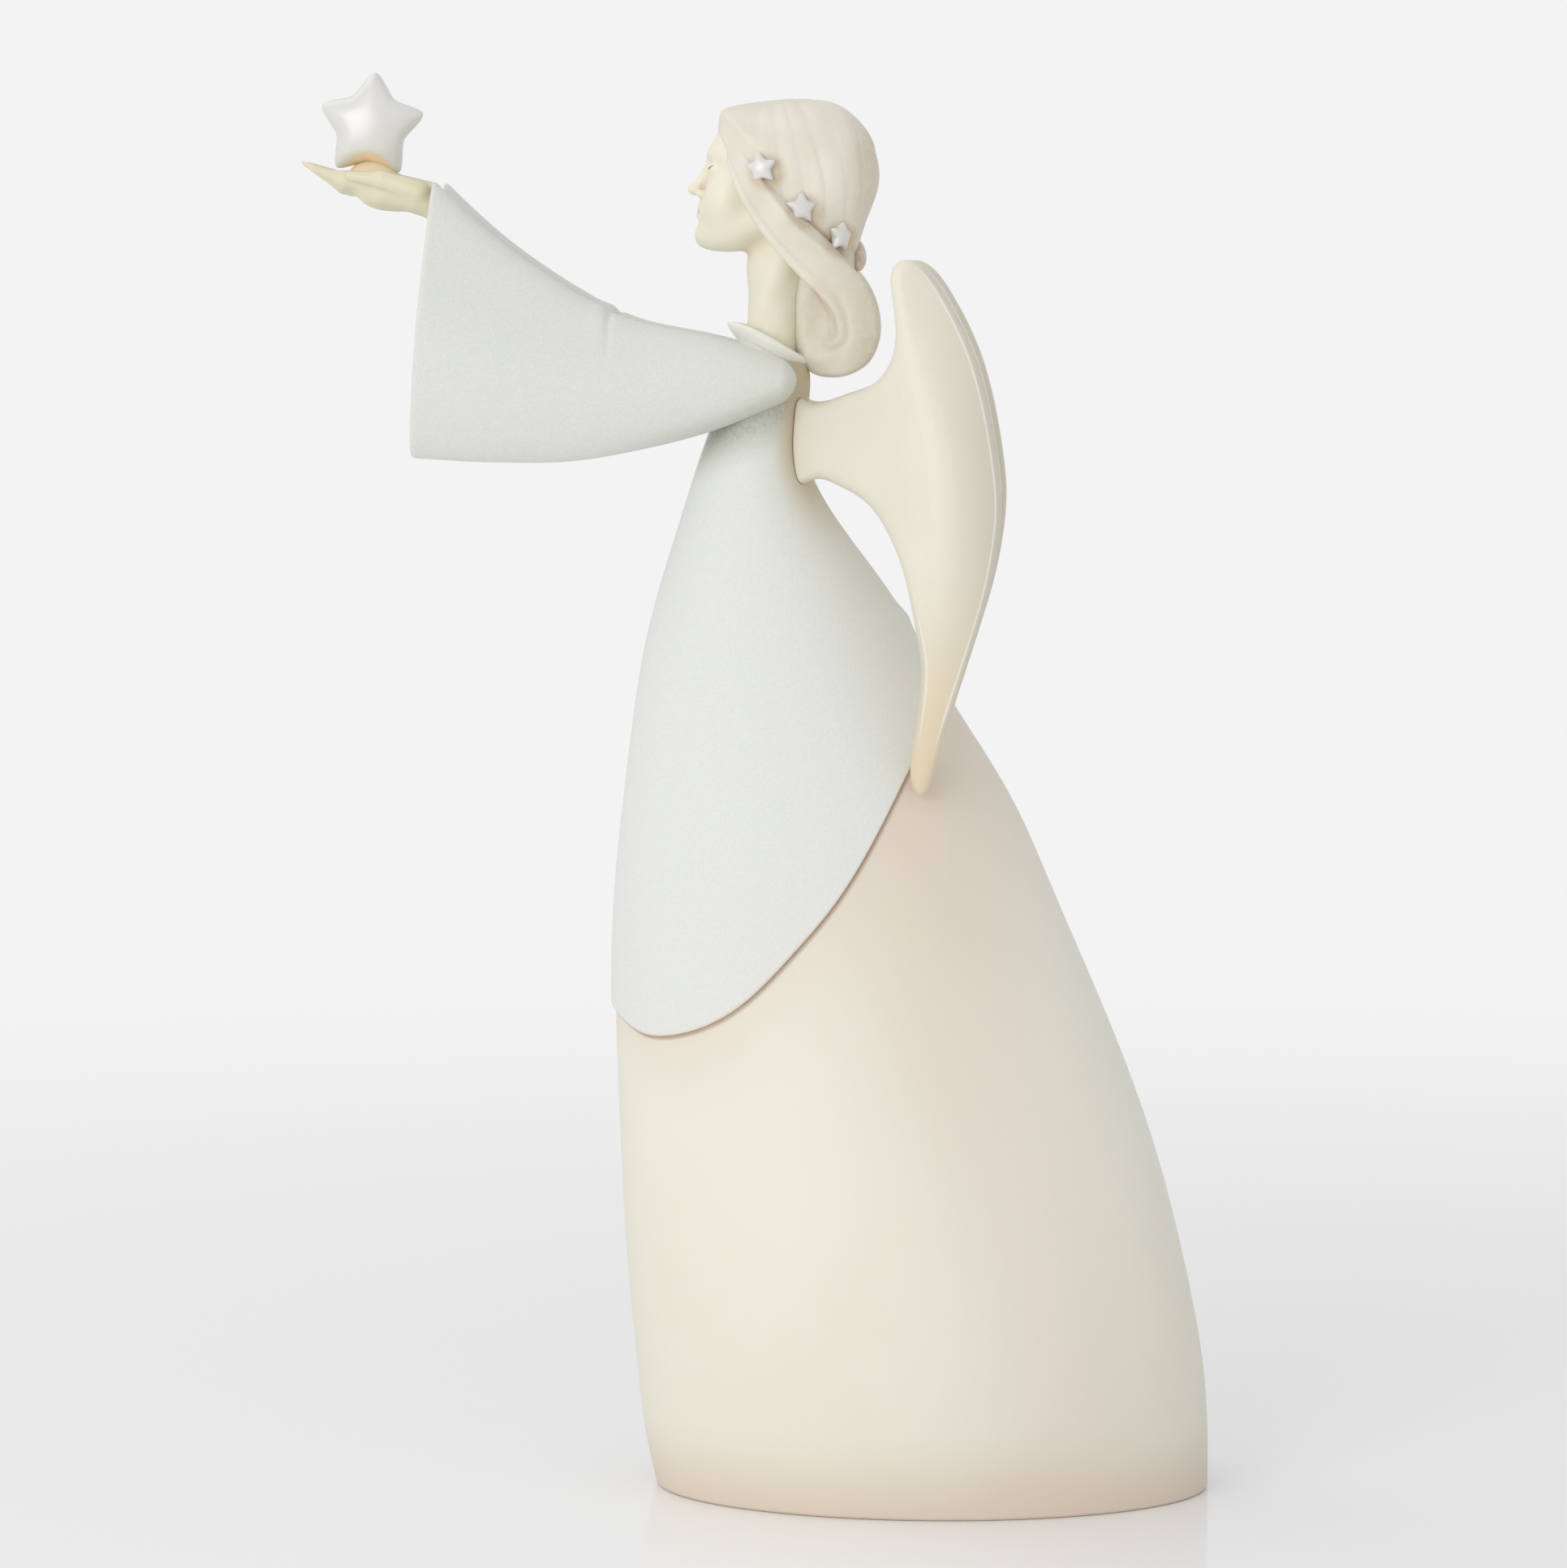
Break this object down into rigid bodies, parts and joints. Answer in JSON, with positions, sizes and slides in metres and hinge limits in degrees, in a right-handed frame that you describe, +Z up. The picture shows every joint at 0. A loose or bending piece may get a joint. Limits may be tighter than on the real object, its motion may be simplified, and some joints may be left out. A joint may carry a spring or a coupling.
{
  "type": "angel figurine",
  "caption": "Slender cast-resin angel in a long gown and frosted tunic, arms stretched forward in bell sleeves to hold up a star, with swept wings and a low bun; it stands on a flat foot.",
  "frame": {"origin": "centre of the foot, on the surface the figurine stands on", "axes": "+Z up, the figure faces -Y, +X is the figure's left side"},
  "size_m": [0.066, 0.1533, 0.2387],
  "materials": {
    "skirt_paint": "satin cream paint on cast resin, blushed rose at the foot and under the hem",
    "tunic_frost": "granular frosted paint, pale grey-white with a green tint",
    "skin_paint": "satin pale cream paint",
    "hair_paint": "satin cream to pinkish-beige paint",
    "wing_paint": "smooth satin cream paint, tan towards the edges",
    "pearl_paint": "pearlescent white gloss paint",
    "raw_resin": "unpainted cast resin",
    "felt": "cream felt pad"
  },
  "bodies": {
    "root": {"base_felt": "felt", "base_plug": "raw_resin", "skirt": "skirt_paint", "tunic": "tunic_frost", "collar": "tunic_frost", "head": "skin_paint", "hair_cap": "hair_paint", "hair_roll_left": "hair_paint", "hair_roll_right": "hair_paint", "chignon": "hair_paint", "sleeve_left": "tunic_frost", "sleeve_right": "tunic_frost", "hand_left": "skin_paint", "hand_right": "skin_paint", "star": "pearl_paint", "wing_left": "wing_paint", "wing_right": "wing_paint", "hair_star_left_front": "pearl_paint", "hair_star_left_middle": "pearl_paint", "hair_star_left_rear": "pearl_paint", "hair_star_right_front": "pearl_paint", "hair_star_right_middle": "pearl_paint", "hair_star_right_rear": "pearl_paint", "hair_star_back": "pearl_paint"}
  },
  "joints": []
}
